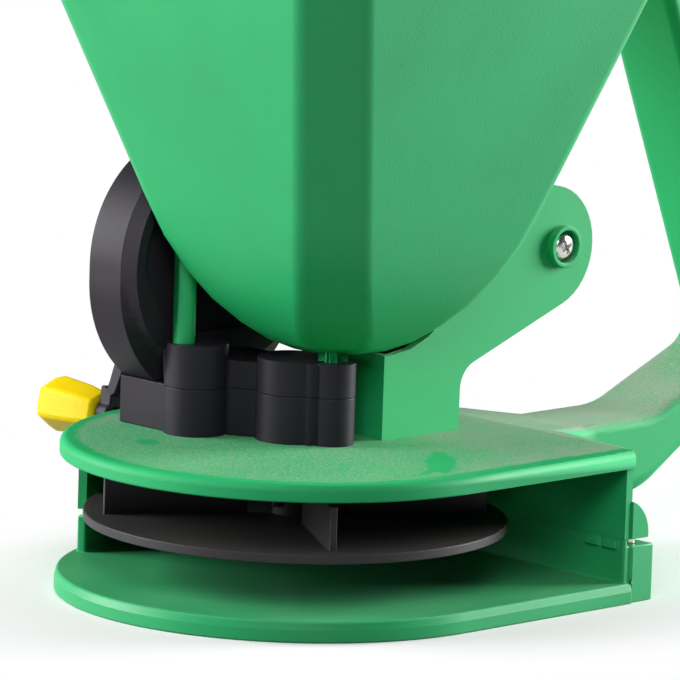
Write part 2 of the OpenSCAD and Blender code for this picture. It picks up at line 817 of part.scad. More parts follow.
module crank_bush() {
    color(bronze) translate([drum_cap_x, 0, crank_z]) rotate([0, 90, 0]) {
        ring(crank_shaft_r + run_gap, crank_shaft_r + 2, box_wall + 1.5);
        translate([0, 0, box_wall]) ring(crank_shaft_r + run_gap, crank_shaft_r + 4, 1.5);
    }
}

module counter_bushes() {
    color(bronze) for (x = bush_places)
        translate([x, 0, split_z]) rotate([0, 90, 0]) ring(counter_r + run_gap, bush_r, bush_l);
}

// Turns the crank's own pieces from straight down to their resting angle
module at_crank() {
    translate([0, 0, crank_z]) rotate([-crank_angle, 0, 0]) children();
}

arm_in = drum_cap_x - slide_gap - 0.7;
arm_t = 5;
arm_end_t = 3.6;
arm_w = 5.2;
arm_out = -knob_x + slide_gap;
hub_r = 8;

module crank_arm() {
    color(black) at_crank() difference() {
        union() {
            along_x(arm_in - arm_t, arm_in) circle(r = hub_r);
            translate([0, 0, -crank_len]) along_x(arm_out, arm_out + arm_end_t) circle(r = knob_pin_r + 1.9);
            translate([arm_out, -arm_w / 2, -crank_len]) cube([arm_end_t, arm_w, 8]);
            hull() {
                translate([arm_in - arm_t, -0.7 * arm_w, -hub_r + 2]) cube([arm_t, 1.4 * arm_w, 1]);
                translate([arm_out + 1.2, -arm_w / 2, -crank_len + 6]) cube([arm_end_t, arm_w, 1]);
            }
        }
        along_x(-100, 0) circle(r = crank_shaft_r - 1);
        translate([0, 0, -crank_len]) along_x(-100, 0) circle(r = knob_pin_r);
    }
}

knob_pin_r = 2;

module crank_shaft() {
    color(steel) at_crank() {
        along_x(arm_in, drum_back_x - hollow_d / 2) circle(r = crank_shaft_r);
        along_x(arm_in - arm_t, arm_in + 1) circle(r = crank_shaft_r - 1);
    }
}

module crank_screw() {
    color(steel) at_crank() along_x(arm_in - arm_t - head_h, arm_in - arm_t) circle(r = head_r + 1);
}

module knob_pin() {
    color(steel) at_crank() translate([0, 0, -crank_len]) {
        along_x(-knob_x - knob_l - 0.6, arm_out + arm_end_t) circle(r = knob_pin_r);
        along_x(-knob_x - knob_l - 2, -knob_x - knob_l - 0.6) circle(r = 3.4);
    }
}

// Six-sided grip that widens outwards; each level is a share of its length and a share of its width
knob_levels = [[0, 0.68], [0.05, 0.76], [0.30, 0.89], [0.82, 1], [0.95, 0.91], [1, 0.80]];

module crank_knob() {
    across = knob_w / 2 / cos(30);
    color(yellow) at_crank() translate([-knob_x, 0, -crank_len]) rotate([0, -90, 0]) rotate(30)
    difference() {
        for (i = [0:len(knob_levels) - 2])
            translate([0, 0, knob_levels[i][0] * knob_l])
                cylinder(
                    r1 = across * knob_levels[i][1], r2 = across * knob_levels[i + 1][1],
                    h = (knob_levels[i + 1][0] - knob_levels[i][0]) * knob_l, $fn = 6);
        translate([0, 0, -1]) cylinder(r = knob_pin_r + run_gap, h = knob_l + 2);
    }
}

function degrees(r) = r * 180 / PI;
function involute(r, base) = r <= base ? 0 : degrees(sqrt(r * r / base / base - 1)) - acos(base / r);

// Half the angle that a tooth takes up at radius r
function half_tooth(r, pitch, teeth, slack) =
    90 / teeth - degrees(slack / 2 / pitch)
    + involute(pitch, pitch * cos(20)) - involute(r, pitch * cos(20));

// Outline of a gear with involute teeth; the first tooth points along x
function gear_outline(pitch, teeth, up, down, slack = backlash) =
    let (radii = [for (k = [0:3]) pitch - down + (up + down) * k / 3])
    [for (t = [0:teeth - 1], side = [-1, 1], k = side < 0 ? [0:3] : [3:-1:0])
        let (r = radii[k], a = t * 360 / teeth + side * half_tooth(r, pitch, teeth, slack))
        r * [cos(a), sin(a)]];

module crank_gear() {
    hub_l = gear_face / 2 - gear_x - drum_seam + hub_room - slide_gap;
    color(nylon) at_crank() rotate([crank_angle, 0, 0]) translate([gear_x - gear_face / 2, 0, 0])
    difference() {
        union() {
            rotate([0, 90, 0]) linear_extrude(gear_face)
                polygon(gear_outline(crank_pitch, crank_teeth, 0.8 * gear_module, 1.2 * gear_module));
            rotate([0, 90, 0]) cylinder(r = crank_shaft_r + 3, h = hub_l);
        }
        rotate([-crank_angle, 0, 0]) along_x(-20, 40) circle(r = crank_shaft_r);
    }
}

module counter_shaft() {
    color(steel) translate([0, 0, split_z])
        along_x(block_out + 1.4, -bevel_r + bevel_face - 0.4) circle(r = counter_r);
}

module counter_pinion() {
    color(nylon) translate([gear_x - gear_face / 2 - 0.3, 0, split_z]) rotate([0, 90, 0]) difference() {
        linear_extrude(gear_face + 0.6) rotate(180 / pinion_teeth * (1 - pinion_teeth % 2))
            polygon(gear_outline(pinion_pitch, pinion_teeth, 0.9 * gear_module, 1.25 * gear_module));
        translate([0, 0, -1]) cylinder(r = counter_r, h = 20);
    }
}

// Straight bevel gear: the teeth shrink towards the crossing of the two axes
module bevel(turn) {
    rotate([0, 0, turn]) linear_extrude(bevel_face, scale = (bevel_r - bevel_face) / bevel_r)
        polygon(gear_outline(bevel_r, bevel_teeth, 0.75 * bevel_module, 1.1 * bevel_module, backlash * 2));
    translate([0, 0, -4]) cylinder(r = bevel_r - 1.4, h = 4 + eps);
}

module counter_bevel() {
    color(nylon) translate([-bevel_r, 0, split_z]) rotate([0, 90, 0]) difference() {
        bevel(0);
        translate([0, 0, -10]) cylinder(r = counter_r, h = 20);
    }
}

module spinner_bevel() {
    color(nylon) translate([0, 0, split_z - bevel_r]) difference() {
        bevel(180 / bevel_teeth);
        translate([0, 0, -10]) cylinder(r = spinner_shaft_r, h = 20);
    }
}

vane_from = 14;
vane_to = 55;
vane_turn = -33.5;
spinner_hub_r = 6.5;
hub_below = 3;
nut_h = 4;
shaft_below = hub_below + nut_h + 2;

module spinner_disc() {
    color(black) difference() {
        union() {
            translate([0, 0, disc_z]) cylinder(r = disc_r, h = disc_t, $fn = 128);
            translate([0, 0, disc_z - hub_below]) cylinder(r = spinner_hub_r, h = disc_t + 10);
            for (turn = [0:90:270])
                rotate([0, 0, vane_turn + turn]) translate([vane_from, -vane_t / 2, disc_top - eps])
                    cube([vane_to - vane_from, vane_t, vane_h + eps]);
        }
        translate([0, 0, disc_z - 10]) cylinder(r = spinner_shaft_r, h = 40);
    }
}

module spinner_shaft() {
    low = disc_z - shaft_below;
    high = split_z - bevel_r + bevel_face - 0.6;
    color(steel) translate([0, 0, low]) cylinder(r = spinner_shaft_r, h = high - low);
}

module spinner_nut() {
    color(steel) translate([0, 0, disc_z - hub_below - nut_h]) difference() {
        cylinder(r = 5.6, h = nut_h, $fn = 6);
        translate([0, 0, -1]) cylinder(r = spinner_shaft_r, h = nut_h + 2);
    }
}

module flow_gate() {
    color(black) on_rear_wall() difference() {
        slab(gate_w, [gate_n, outlet_low - 3], [gate_n + gate_t, gate_top]);
        slab(outlet_w, [gate_n - 1, outlet_low + gate_travel],
            [gate_n + gate_t + 1, outlet_low + outlet_h + gate_travel]);
        gate_rivet_hole();
    }
}

module gate_rivet_hole() {
    translate([0, 0, (gate_top + bar_low) / 2]) rotate([-90, 0, 0]) cylinder(r = 1.5, h = 20);
}

module link_bar() {
    color(steel) on_rear_wall() difference() {
        slab(bar_w, [bar_n, bar_low], [bar_n + bar_t, bar_top]);
        gate_rivet_hole();
        slab(6, [bar_n - 1, arm_s - bar_slot / 2], [bar_n + bar_t + 1, arm_s + bar_slot / 2]);
    }
}

module gate_rivet() {
    color(steel) on_rear_wall() translate([0, bar_n + bar_t, (gate_top + bar_low) / 2]) rotate([90, 0, 0]) {
        cylinder(r = 1.5, h = gate_t + bar_t);
        translate([0, 0, -1]) cylinder(r = 2.8, h = 1);
    }
}

// Finger lever below the pin and a short arm forwards through the link bar
module trigger() {
    tip = [trigger_y - 13, trigger_z - trigger_l];
    arm_end = trigger_y - trigger_arm - 2.6;
    color(yellow) difference() {
        union() {
            side_plate(trigger_w) union() {
                translate([trigger_y, trigger_z]) circle(r = 5);
                polygon(rounded([
                    [trigger_y - 4, trigger_z + 3, 0], [trigger_y - 9, trigger_z - 12, 8],
                    [tip.x - 6, tip.y, 2], [tip.x, tip.y - 2, 3],
                    [trigger_y - 1, trigger_z - 14, 10], [trigger_y + 4.5, trigger_z - 1, 0]
                ]));
            }
            side_plate(5) polygon([
                [trigger_y, trigger_z + 3], [arm_end, trigger_z + 2],
                [arm_end, trigger_z - 2], [trigger_y, trigger_z - 3]
            ]);
        }
        translate([0, trigger_y, trigger_z]) along_x(-20, 20) circle(r = trigger_pin_r + run_gap);
    }
}

module trigger_pin() {
    color(steel) translate([0, trigger_y, trigger_z])
        along_x(-chute_w / 2 + 2, chute_w / 2 - 2) circle(r = trigger_pin_r);
}

// Torsion spring on the pin beside the trigger: one wire with two straight legs
wire_r = 0.28;
spring_r = trigger_pin_r + 0.9;
spring_turns = 2.25;
spring_pitch = 1;
spring_rings = 18;
leg_l = 3;
function spring_turn(i) = 360 * spring_turns * i / spring_rings;
function spring_along(i) = spring_pitch * spring_turns * i / spring_rings;
function spring_ring(i, leg) = [
    for (k = [0:5])
        let (turn = spring_turn(i), out = spring_r + wire_r * cos(60 * k))
        [
            spring_along(i) - wire_r * sin(60 * k),
            out * cos(turn) - leg * sin(turn),
            out * sin(turn) + leg * cos(turn)
        ]
];
function spring_point(i) =
    [spring_along(i), spring_r * cos(spring_turn(i)), spring_r * sin(spring_turn(i))];
spring_gaps = [
    for (i = [0:spring_rings], j = [0:spring_rings])
        if (j - i > 4) norm(spring_point(i) - spring_point(j)) - 2 * wire_r
];
echo(spring_gap = min(spring_gaps));

module trigger_spring() {
    from = trigger_w / 2 + slide_gap + wire_r;
    color(steel) translate([from, trigger_y, trigger_z]) loft(concat(
        [spring_ring(0, -leg_l)],
        [for (i = [0:spring_rings]) spring_ring(i, 0)],
        [spring_ring(spring_rings, leg_l)]
    ));
}

// Pan head below z = 0, with its flat side up, and a shank above
module screw(l, head = head_r) {
    cylinder(r = screw_r, h = l);
    rotate_extrude() intersection() {
        translate([0, head - head_h + 0.2]) circle(r = head + 0.2);
        translate([0, -head_h]) square([head, head_h]);
    }
}

module hopper_screws() {
    color(steel) {
        translate([left_post.x, left_post.y, deck_under]) screw(split_z + post_screw_grip - deck_under);
        translate([right_post.x, right_post.y, deck_under - plate_t])
            screw(split_z + post_screw_grip - deck_under);
    }
}

module ear_screws() {
    color(steel) for (side = [-1, 1])
        translate([side * chute_w / 2, ear_y, ear_z]) rotate([0, -90 * side, 0])
            screw(ear_screw_l, ear_head_r);
}

module tray_screws() {
    color(steel) at_bosses() translate([0, 0, screw_seat]) screw(upper_seam - screw_seat + 6);
}

module cover_screws() {
    color(steel) at_cover_screws() screw(cover_screw_l);
}

module handle_screws() {
    color(steel) at_handle_screws() screw(handle_screw_l);
}

hopper();
upper_body();
lower_tray();
gearbox_lower();
gearbox_upper();
gear_cover();
spinner_bush();
crank_bush();
counter_bushes();
crank_arm();
crank_shaft();
crank_gear();
crank_screw();
knob_pin();
crank_knob();
counter_shaft();
counter_pinion();
counter_bevel();
spinner_disc();
spinner_shaft();
spinner_bevel();
spinner_nut();
flow_gate();
link_bar();
gate_rivet();
trigger();
trigger_pin();
trigger_spring();
hopper_screws();
ear_screws();
tray_screws();
cover_screws();
handle_screws();
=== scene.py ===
# %% [markdown]
# # A handheld seed spreader
# The solids of the spreader come from its CAD model: a green hopper, a green base with a loop handle,
# a black gearbox and a black spinner. This lesson sets up a white table with soft lamps, and then
# gives the solids real finishes, soft edges and real screws.

# %% Load the solids
import json
import math

import bmesh
import bpy
from mathutils import Matrix, Vector

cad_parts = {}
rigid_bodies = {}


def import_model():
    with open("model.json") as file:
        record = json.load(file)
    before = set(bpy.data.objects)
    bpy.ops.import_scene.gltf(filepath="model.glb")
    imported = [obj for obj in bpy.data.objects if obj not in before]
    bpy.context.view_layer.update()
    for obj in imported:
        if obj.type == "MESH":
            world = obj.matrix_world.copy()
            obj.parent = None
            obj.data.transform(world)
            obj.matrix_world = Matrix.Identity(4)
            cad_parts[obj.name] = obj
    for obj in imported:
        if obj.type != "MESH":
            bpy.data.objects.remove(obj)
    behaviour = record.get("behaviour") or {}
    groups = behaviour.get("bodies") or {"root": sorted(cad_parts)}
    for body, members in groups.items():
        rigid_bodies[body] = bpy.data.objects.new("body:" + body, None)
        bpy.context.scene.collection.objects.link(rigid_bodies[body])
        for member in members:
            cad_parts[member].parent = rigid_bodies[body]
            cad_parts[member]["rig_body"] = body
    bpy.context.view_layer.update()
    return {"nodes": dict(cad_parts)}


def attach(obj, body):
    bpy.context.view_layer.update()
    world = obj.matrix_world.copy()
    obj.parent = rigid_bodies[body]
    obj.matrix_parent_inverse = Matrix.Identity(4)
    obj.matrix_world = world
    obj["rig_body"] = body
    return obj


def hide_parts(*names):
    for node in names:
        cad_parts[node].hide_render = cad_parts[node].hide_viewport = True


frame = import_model()
scene = bpy.context.scene
MM = 0.001

# %% [markdown]
# ## Camera
# The spreader is seen from a corner, half from its front and half from its open side, from a little
# above. A long lens far away keeps the upright walls almost parallel. The camera is made first,
# because everything else is judged through it. Its matrix is built from three directions, which is
# easier to read than three angles.

# %% Camera where the photograph was taken
IMAGE_PX = 680
PX_PER_MM = 3.54
SENSOR_MM = 36
CAMERA_AWAY = 2.0
CLIP_END = 50
LOOK_DOWN = math.radians(9.7)
TILT = math.radians(1.9)
SPINNER_MIDDLE = Vector((0, 0, 23.5)) * MM
SPINNER_AT_PX = (295.5, 511.5)

UP = Vector((0, 0, 1))
RIGHTWARDS = Vector((1, 1, 0)).normalized()
TOWARDS = Vector((1, -1, 0)).normalized()


def camera_axes():
    back = TOWARDS * math.cos(LOOK_DOWN) + UP * math.sin(LOOK_DOWN)
    level_up = UP * math.cos(LOOK_DOWN) - TOWARDS * math.sin(LOOK_DOWN)
    right = RIGHTWARDS * math.cos(TILT) + level_up * math.sin(TILT)
    up = level_up * math.cos(TILT) - RIGHTWARDS * math.sin(TILT)
    return right, up, back


def add_camera():
    right, up, back = camera_axes()
    across = (SPINNER_AT_PX[0] - IMAGE_PX / 2) / PX_PER_MM * MM
    down = (SPINNER_AT_PX[1] - IMAGE_PX / 2) / PX_PER_MM * MM
    place = SPINNER_MIDDLE - right * across + up * down + back * CAMERA_AWAY
    data = bpy.data.cameras.new("photo_camera")
    data.sensor_fit = "HORIZONTAL"
    data.sensor_width = SENSOR_MM
    data.lens = SENSOR_MM * PX_PER_MM / MM * CAMERA_AWAY / IMAGE_PX
    data.clip_end = CLIP_END
    camera = bpy.data.objects.new("photo_camera", data)
    scene.collection.objects.link(camera)
    rows = Matrix((right, up, back)).transposed().to_4x4()
    camera.matrix_world = Matrix.Translation(place) @ rows
    scene.camera = camera
    return camera


photo_camera = add_camera()
print("camera lens in mm:", round(photo_camera.data.lens, 1))

# %% [markdown]
# ## Node helpers
# Materials are built from nodes in code. A few short helpers add a node, link it and set its values,
# so that each material below reads like a recipe.

# %% Add nodes and feed them


def node_of(tree, kind, inputs=None, **settings):
    made = tree.nodes.new(kind)
    for key, value in settings.items():
        setattr(made, key, value)
    for key, value in (inputs or {}).items():
        made.inputs[key].default_value = value
    return made


def feed(tree, socket, value):
    """Sets a plain value on a socket, or links another node's output to it."""
    if isinstance(value, (int, float, tuple)):
        socket.default_value = value
    else:
        tree.links.new(value, socket)


def feed_all(tree, made, values):
    """Feeds a node's first sockets in their order."""
    for socket, value in zip(made.inputs, values):
        feed(tree, socket, value)
    return made


def math_node(tree, operation, *values, clamp=False):
    made = node_of(tree, "ShaderNodeMath", operation=operation, use_clamp=clamp)
    return feed_all(tree, made, values).outputs[0]


def vector_node(tree, operation, *values):
    made = node_of(tree, "ShaderNodeVectorMath", operation=operation)
    return feed_all(tree, made, values).outputs


def on_piece(tree):
    """Object coordinates, which stay on a piece when the piece moves."""
    return node_of(tree, "ShaderNodeTexCoord").outputs["Object"]


print("node helpers are ready")

# %% [markdown]
# Patterns come from noise. A ramp picks the part of a noise that shows, with soft ends, and a spread
# turns a mask into any other range. Two colours or two shaders are mixed by such a mask.

# %% Shape a mask and mix by it


def noise(tree, vector, scale, detail=3.0, roughness=0.55):
    made = node_of(tree, "ShaderNodeTexNoise", {"Detail": detail, "Roughness": roughness})
    feed(tree, made.inputs["Vector"], vector)
    feed(tree, made.inputs["Scale"], scale)
    return made.outputs["Fac"]


def ramp(tree, value, low, high):
    made = node_of(tree, "ShaderNodeMapRange", interpolation_type="SMOOTHSTEP")
    made.inputs["From Min"].default_value = low
    made.inputs["From Max"].default_value = high
    feed(tree, made.inputs["Value"], value)
    return made.outputs["Result"]


def spread(tree, value, low, high):
    made = node_of(tree, "ShaderNodeMapRange", {"To Min": low, "To Max": high})
    feed(tree, made.inputs["Value"], value)
    return made.outputs["Result"]


def mixed(tree, factor, first, second):
    made = node_of(tree, "ShaderNodeMix", data_type="RGBA")
    feed(tree, made.inputs["Factor"], factor)
    feed(tree, made.inputs["A"], first)
    feed(tree, made.inputs["B"], second)
    return made.outputs["Result"]


def mixed_shader(tree, factor, first, second):
    made = node_of(tree, "ShaderNodeMixShader")
    return feed_all(tree, made, (factor, first.outputs[0], second.outputs[0])).outputs[0]


print("mask helpers are ready")

# %% [markdown]
# ## White table and soft lamps
# Two soft boxes stand at the sides, and the right one is well behind the spreader. The front corner
# of the hopper faces neither of them, so it stays darker than the walls beside it. A weaker lamp in
# front lifts that corner, and a faint one hangs above the table. The rest of the room is dim, so the
# spinner chamber and the hollow in the drum stay dark.

# %% Lamps
scene.view_settings.view_transform = "Standard"
AIM = Vector((0.0, 0.02, 0.10))


def add_lamp(name, place, size, watts):
    data = bpy.data.lights.new(name, "AREA")
    data.shape = "RECTANGLE"
    data.size, data.size_y = size
    data.energy = watts
    lamp = bpy.data.objects.new(name, data)
    lamp.location = place
    lamp.rotation_euler = (AIM - place).to_track_quat("-Z", "Y").to_euler()
    scene.collection.objects.link(lamp)
    return lamp


lamps = [
    add_lamp("left_soft_box", -RIGHTWARDS * 1.0 - TOWARDS * 0.06 + UP * 0.37, (0.75, 0.6), 17.5),
    add_lamp("right_soft_box", RIGHTWARDS * 1.0 - TOWARDS * 0.40 + UP * 0.31, (0.5, 0.6), 19.5),
    add_lamp("front_fill", TOWARDS * 1.28 + UP * 1.05, (0.8, 0.8), 10.6),
    add_lamp("top_soft_box", -TOWARDS * 0.35 + UP * 1.15, (0.9, 0.9), 0.5),
]
print("lamps:", [lamp.name for lamp in lamps])

# %% [markdown]
# The floor keeps the shadow near the spreader, and farther out it fades to plain white. Only rays
# that show the background see that white; light that bounces off the floor meets a duller colour,
# so the fade adds no light.

# %% World and floor
FLOOR_HALF = 8.0
FADE_FROM, FADE_TO = 0.070, 0.132
FADE_LEAST = 0.14
FLOOR_MIDDLE = (0.0, 0.05, 0.0)
FLOOR_STRETCH = (1.0, 0.62, 1.0)
AMBIENT = 0.04
PAPER = (0.95, 0.95, 0.95, 1)
BOUNCE = (0.09, 0.09, 0.09, 1)
WHITE = (1, 1, 1, 1)


def seen_rays(tree):
    """One for rays that show the background: camera, mirror and glass rays."""
    path = node_of(tree, "ShaderNodeLightPath").outputs
    mirror = math_node(tree, "ADD", path["Is Camera Ray"], path["Is Glossy Ray"], clamp=True)
    return math_node(tree, "ADD", mirror, path["Is Transmission Ray"], clamp=True)


def make_world():
    world = bpy.data.worlds.new("studio")
    world.use_nodes = True
    tree = world.node_tree
    tree.nodes.clear()
    out = node_of(tree, "ShaderNodeOutputWorld")
    dim = node_of(tree, "ShaderNodeBackground", {"Color": WHITE, "Strength": AMBIENT})
    white = node_of(tree, "ShaderNodeBackground", {"Color": WHITE, "Strength": 1.0})
    seen = node_of(tree, "ShaderNodeLightPath").outputs["Is Camera Ray"]
    feed(tree, out.inputs["Surface"], mixed_shader(tree, seen, dim, white))
    scene.world = world


def floor_paper():
    paper = bpy.data.materials.new("white_table")
    paper.use_nodes = True
    tree = paper.node_tree
    tree.nodes.clear()
    out = node_of(tree, "ShaderNodeOutputMaterial")
    seen = seen_rays(tree)
    matt = node_of(tree, "ShaderNodeBsdfDiffuse")
    feed(tree, matt.inputs["Color"], mixed(tree, seen, BOUNCE, PAPER))
    white = node_of(tree, "ShaderNodeEmission", {"Color": WHITE, "Strength": 1.0})
    middle = vector_node(tree, "SUBTRACT", on_piece(tree), FLOOR_MIDDLE)
    stretch = vector_node(tree, "MULTIPLY", middle["Vector"], FLOOR_STRETCH)
    far = vector_node(tree, "LENGTH", stretch["Vector"])
    fade = spread(tree, ramp(tree, far["Value"], FADE_FROM, FADE_TO), FADE_LEAST, 1.0)
    shown = math_node(tree, "MULTIPLY", fade, seen)
    feed(tree, out.inputs["Surface"], mixed_shader(tree, shown, matt, white))
    return paper


def make_floor():
    mesh = bpy.data.meshes.new("floor")
    bm = bmesh.new()
    bmesh.ops.create_grid(bm, x_segments=1, y_segments=1, size=FLOOR_HALF)
    bm.to_mesh(mesh)
    bm.free()
    mesh.materials.append(floor_paper())
    floor = bpy.data.objects.new("floor", mesh)
    scene.collection.objects.link(floor)


make_world()
make_floor()
print("floor and world are ready")

# %% [markdown]
# ## Shared effects
# Moulded plastic shows three things again and again: a fine grain that the mould was etched with,
# faint colour clouds from the melt, and dust that settles on faces that look up. One node group makes
# the grain and the clouds, and another makes the dust. Each has its own sockets, so every plastic
# below can use it with other numbers. Both read Object coordinates, so a pattern stays on its piece
# when the piece moves.

# %% Etched grain
PIT_SHARE = 0.6
TONE_LOW, TONE_HIGH = 0.3, 0.7


def new_group(name, inputs, outputs):
    group = bpy.data.node_groups.new(name, "ShaderNodeTree")
    for label, default in inputs.items():
        socket = group.interface.new_socket(label, in_out="INPUT", socket_type="NodeSocketFloat")
        socket.default_value = default
    for label in outputs:
        group.interface.new_socket(label, in_out="OUTPUT", socket_type="NodeSocketFloat")
    enter = node_of(group, "NodeGroupInput").outputs
    leave = node_of(group, "NodeGroupOutput").inputs
    return group, enter, leave


def make_grain():
    """Height of the etched mould, and a cloudy tone between nought and one."""
    group, enter, leave = new_group("etched_grain", {"Grain": 1500.0, "Cloud": 18.0}, ("Height", "Tone"))
    place = on_piece(group)
    fine = noise(group, place, enter["Grain"], 2.0)
    pits = node_of(group, "ShaderNodeTexVoronoi", feature="SMOOTH_F1")
    feed(group, pits.inputs["Vector"], place)
    feed(group, pits.inputs["Scale"], enter["Grain"])
    height = math_node(group, "MULTIPLY_ADD", pits.outputs["Distance"], PIT_SHARE, fine)
    feed(group, leave["Height"], height)
    cloud = noise(group, place, enter["Cloud"], 4.0)
    feed(group, leave["Tone"], ramp(group, cloud, TONE_LOW, TONE_HIGH))
    return group


GRAIN = make_grain()
print("group:", GRAIN.name)

# %% [markdown]
# Dust needs three masks. The first looks at the surface: only faces that look up hold dust. The
# second is a broken cloud with specks in it, because fingers and seed keep wiping some of it away.
# The third is the distance from the front of the spinner: flying seed sweeps that part clean, and
# dust gathers towards the ends.

# %% Settled dust
LEVEL_FROM, LEVEL_FULL = 0.45, 0.95
FILM_LOW, FILM_HIGH = 0.30, 0.66
FILM_LEAST = 0.45
SPECK_LOW, SPECK_HIGH = 0.50, 0.62
SWEPT_MIDDLE = (0.010, -0.030, 0.040)
SWEPT_RADIUS, DRIFT_RADIUS = 0.045, 0.100


def make_dust():
    """Film of dust on faces that look up, and the coarser specks that lie in it."""
    group, enter, leave = new_group(
        "settled_dust", {"Cloud": 30.0, "Speck": 1300.0, "Drift": 1.0}, ("Film", "Specks"))
    coords = node_of(group, "ShaderNodeTexCoord").outputs
    place = coords["Object"]
    facing = node_of(group, "ShaderNodeSeparateXYZ")
    feed(group, facing.inputs[0], coords["Normal"])
    upward = ramp(group, facing.outputs["Z"], LEVEL_FROM, LEVEL_FULL)
    cloud = ramp(group, noise(group, place, enter["Cloud"], 5.0, 0.62), FILM_LOW, FILM_HIGH)
    film = math_node(group, "MULTIPLY", spread(group, cloud, FILM_LEAST, 1.0), upward)
    away = vector_node(group, "DISTANCE", place, SWEPT_MIDDLE)
    drift = ramp(group, away["Value"], SWEPT_RADIUS, DRIFT_RADIUS)
    heaped = math_node(group, "MULTIPLY_ADD", drift, enter["Drift"], 1.0)
    feed(group, leave["Film"], math_node(group, "MULTIPLY", film, heaped))
    speck = ramp(group, noise(group, place, enter["Speck"], 2.0, 0.6), SPECK_LOW, SPECK_HIGH)
    feed(group, leave["Specks"], math_node(group, "MULTIPLY", speck, upward))
    return group


DUST = make_dust()
print("group:", DUST.name)

# %% [markdown]
# ## Plastics and metals
# Hands rub the dust off the deck in some places: along the rim, which is touched most, and in a few
# smears. The rim is found by its distance from the spinner's axis, and each smear is an oval. Noise
# makes both edges ragged, as a finger leaves them.

# %% Places rubbed clean
RIM_DUSTY, RIM_CLEAN = 0.0625, 0.0645
RIM_NOISE, RIM_RAGGED = 220.0, 0.003
SMEAR_NOISE, SMEAR_RAGGED = 260.0, 0.45
SMEAR_CLEAN, SMEAR_DUSTY = 0.75, 1.15
DECK_SMEARS = [
    ((47.8, 9.2, 44), (16, 4.4, 9), -45),
    ((54, 0, 44), (9, 1.6, 9), -70),
    ((-22.6, -36.8, 44), (4.4, 3.6, 9), -45),
]


def dusty_inside_rim(tree, coords):
    """Nought on a strip along the round front rim and the straight sides, one inside it."""
    apart = node_of(tree, "ShaderNodeSeparateXYZ")
    feed(tree, apart.inputs[0], coords)
    flat = node_of(tree, "ShaderNodeCombineXYZ")
    feed(tree, flat.inputs["X"], apart.outputs["X"])
    feed(tree, flat.inputs["Y"], math_node(tree, "MINIMUM", apart.outputs["Y"], 0.0))
    out = vector_node(tree, "LENGTH", flat.outputs["Vector"])
    ragged = noise(tree, coords, RIM_NOISE)
    reach = math_node(tree, "MULTIPLY_ADD", ragged, RIM_RAGGED, out["Value"])
    return math_node(tree, "SUBTRACT", 1.0, ramp(tree, reach, RIM_DUSTY, RIM_CLEAN))


def dust_left(tree, smears):
    """Nought on the rim and in smears given as place, half sizes and turn; one where dust lies."""
    coords = on_piece(tree)
    left = dusty_inside_rim(tree, coords)
    ragged = spread(tree, noise(tree, coords, SMEAR_NOISE), -SMEAR_RAGGED, SMEAR_RAGGED)
    for place, half, turn in smears:
        oval = node_of(tree, "ShaderNodeMapping", vector_type="TEXTURE")
        oval.inputs["Location"].default_value = [v * MM for v in place]
        oval.inputs["Rotation"].default_value = (0, 0, math.radians(turn))
        oval.inputs["Scale"].default_value = [v * MM for v in half]
        feed(tree, oval.inputs["Vector"], coords)
        far = vector_node(tree, "LENGTH", oval.outputs["Vector"])
        reach = math_node(tree, "ADD", far["Value"], ragged)
        edge = ramp(tree, reach, SMEAR_CLEAN, SMEAR_DUSTY)
        left = math_node(tree, "MULTIPLY", left, edge)
    return left


print("smears on the deck:", len(DECK_SMEARS))

# %% [markdown]
# One function makes every moulded plastic. It takes the colour of the melt, how rough the skin is,
# how fine and deep the grain is and how much dust lies on it. Values that are the same all over the
# piece go straight onto the shader's sockets.

# %% Moulded plastic
DUST_COLOUR = (0.36, 0.41, 0.33, 1)
DUST_DULLS = 0.35
MELT_DARK, MELT_LIGHT = 0.92, 1.05
GLOSS_VARIES = 0.05
GRAIN_STRENGTH = 0.5


def principled(material):
    return next(node for node in material.node_tree.nodes if node.type == "BSDF_PRINCIPLED")


def new_finish(name):
    made = bpy.data.materials.new(name)
    made.use_nodes = True
    return made, made.node_tree, principled(made)


def group_node(tree, group, **values):
    return node_of(tree, "ShaderNodeGroup", values, node_tree=group).outputs


def scaled(colour, share):
    return tuple(c * share for c in colour[:3]) + (1.0,)


def emboss(tree, shader, height, strength, depth):
    bump = node_of(tree, "ShaderNodeBump", {"Strength": strength, "Distance": depth})
    feed(tree, bump.inputs["Height"], height)
    feed(tree, shader.inputs["Normal"], bump.outputs["Normal"])


def plastic(
        name, colour, rough, grain=1500.0, depth=0.00004, shine=0.5,
        dust=0.0, specks=0.0, drift=1.0, dust_colour=DUST_COLOUR, smears=()):
    made, tree, shader = new_finish(name)
    shader.inputs["Specular IOR Level"].default_value = shine
    skin = group_node(tree, GRAIN, Grain=grain)
    tone = mixed(tree, skin["Tone"], scaled(colour, MELT_DARK), scaled(colour, MELT_LIGHT))
    gloss = spread(tree, skin["Tone"], rough - GLOSS_VARIES, rough + GLOSS_VARIES)
    if dust:
        lying = group_node(tree, DUST, Drift=drift)
        film = math_node(tree, "MULTIPLY", lying["Film"], dust)
        grit = math_node(tree, "MULTIPLY", lying["Specks"], specks)
        cover = math_node(tree, "ADD", film, grit, clamp=True)
        if smears:
            cover = math_node(tree, "MULTIPLY", cover, dust_left(tree, smears))
        tone = mixed(tree, cover, tone, dust_colour)
        gloss = math_node(tree, "MULTIPLY_ADD", cover, DUST_DULLS, gloss, clamp=True)
    feed(tree, shader.inputs["Base Color"], tone)
    feed(tree, shader.inputs["Roughness"], gloss)
    emboss(tree, shader, skin["Height"], GRAIN_STRENGTH, depth)
    return made


print("the recipe for plastic is ready")

# %% [markdown]
# The yellow of the knob and the trigger lets some light in, so their shaded sides glow in a warm
# yellow. That is subsurface scattering: red light goes deepest, and blue light hardly enters.

